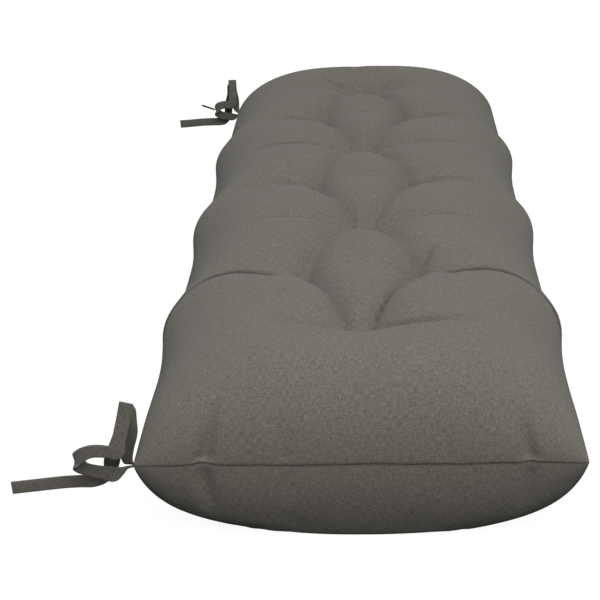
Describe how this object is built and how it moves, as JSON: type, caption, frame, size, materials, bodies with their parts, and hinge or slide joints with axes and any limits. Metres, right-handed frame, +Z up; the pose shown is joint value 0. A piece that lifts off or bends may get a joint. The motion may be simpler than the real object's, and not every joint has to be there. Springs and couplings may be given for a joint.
{
  "type": "bench cushion",
  "caption": "Long tufted bench cushion with a sewn edge seam and knotted tie straps at two corners.",
  "frame": {"origin": "on the flat rest face of the belly, under the middle of the cushion, at the level of the surface it lies on", "axes": "+Z up, +Y along the cushion away from the near end, +X across, away from the long side with the tie straps"},
  "size_m": [0.5163, 1.2409, 0.17],
  "materials": {
    "cushion_cloth": "matt plain weave with slubs",
    "strap_cloth": "matt plain weave, folded and stitched"
  },
  "bodies": {
    "root": {"cushion_body": "cushion_cloth", "tie_near_looped": "strap_cloth", "tie_near_tailed": "strap_cloth", "tie_far_looped": "strap_cloth", "tie_far_tailed": "strap_cloth", "tie_far_tab": "strap_cloth"}
  },
  "joints": []
}
